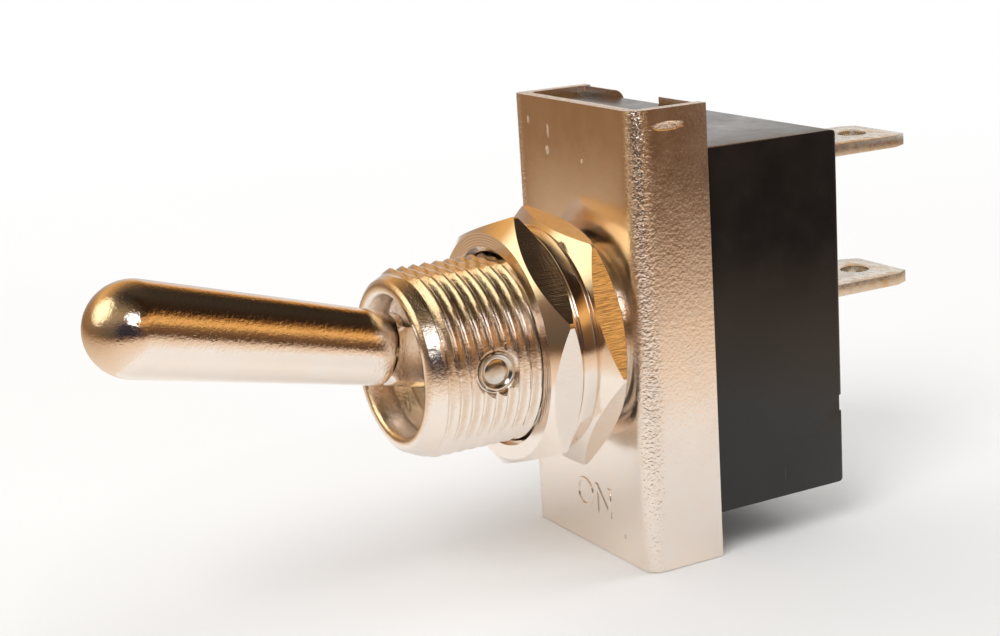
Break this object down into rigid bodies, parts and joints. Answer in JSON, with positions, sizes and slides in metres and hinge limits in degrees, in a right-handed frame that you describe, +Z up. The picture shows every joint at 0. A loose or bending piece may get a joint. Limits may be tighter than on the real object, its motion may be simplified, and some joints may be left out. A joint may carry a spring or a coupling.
{
  "type": "panel toggle switch",
  "caption": "Bat-lever panel toggle switch with threaded bushing, hex nuts and washer, folded metal frame, moulded housing and blade terminals.",
  "frame": {"origin": "the bushing axis where it meets the outer face of the frame plate", "axes": "-Y out along the bushing toward the operator, +Z up (the side the keyway and the end terminal are on), X across the housing"},
  "size_m": [0.0168, 0.0564, 0.0292],
  "materials": {
    "frame_plate": "bright nickel plate over rolled steel, rippled at the bends",
    "bushing_plate": "bright nickel plate",
    "nut_plate": "bright nickel plate, soft edges",
    "washer_plate": "bright nickel plate",
    "bat_plate": "polished nickel plate",
    "pin_steel": "satin",
    "housing_moulding": "glossy thermoset moulding",
    "terminal_strip": "tinned brass strip",
    "contact_silver": "satin silver",
    "rocker_copper": "bright copper strip",
    "fibre_sheet": "vulcanised fibre",
    "plunger_nylon": "natural nylon",
    "spring_wire": "drawn steel wire"
  },
  "bodies": {
    "switch_base": {"frame": "frame_plate", "threaded_bushing": "bushing_plate", "pivot_pin": "pin_steel", "insulating_sheet": "fibre_sheet", "housing": "housing_moulding", "end_terminal": "terminal_strip", "common_terminal": "terminal_strip", "fixed_contact": "contact_silver"},
    "lever": {"toggle_lever": "bat_plate", "plunger_spring": "spring_wire"},
    "plunger": {"plunger": "plunger_nylon"},
    "rocker": {"rocker": "rocker_copper", "moving_contact": "contact_silver"},
    "clamping_nut": {"front_nut": "nut_plate", "panel_washer": "washer_plate"},
    "backing_nut": {"rear_nut": "nut_plate"}
  },
  "joints": [
    {"name": "lever_toggle", "type": "hinge", "parent": "switch_base", "child": "lever", "pos_m": [0, -0.0091, 0], "axis": [1, 0, 0], "range_deg": [0, 28.8]},
    {"name": "plunger_press", "type": "slide", "parent": "lever", "child": "plunger", "axis": [0, -0.9686, 0.2487], "range_m": [0, 0.0012], "stiffness_N_per_m": 500, "springref_m": -0.002, "deforming": ["plunger_spring"]},
    {"name": "rocker_tilt", "type": "hinge", "parent": "switch_base", "child": "rocker", "pos_m": [0, 0.00975, 0], "axis": [1, 0, 0], "range_deg": [-10, 0]},
    {"name": "front_nut_travel", "type": "slide", "parent": "switch_base", "child": "clamping_nut", "axis": [0, -1, 0], "range_m": [0, 0.0059]},
    {"name": "rear_nut_travel", "type": "slide", "parent": "switch_base", "child": "backing_nut", "axis": [0, 1, 0], "range_m": [0, 0.0008]}
  ],
  "couplings": [
    {"joint": "rocker_tilt", "follows": "lever_toggle", "ratio": -0.34722}
  ]
}
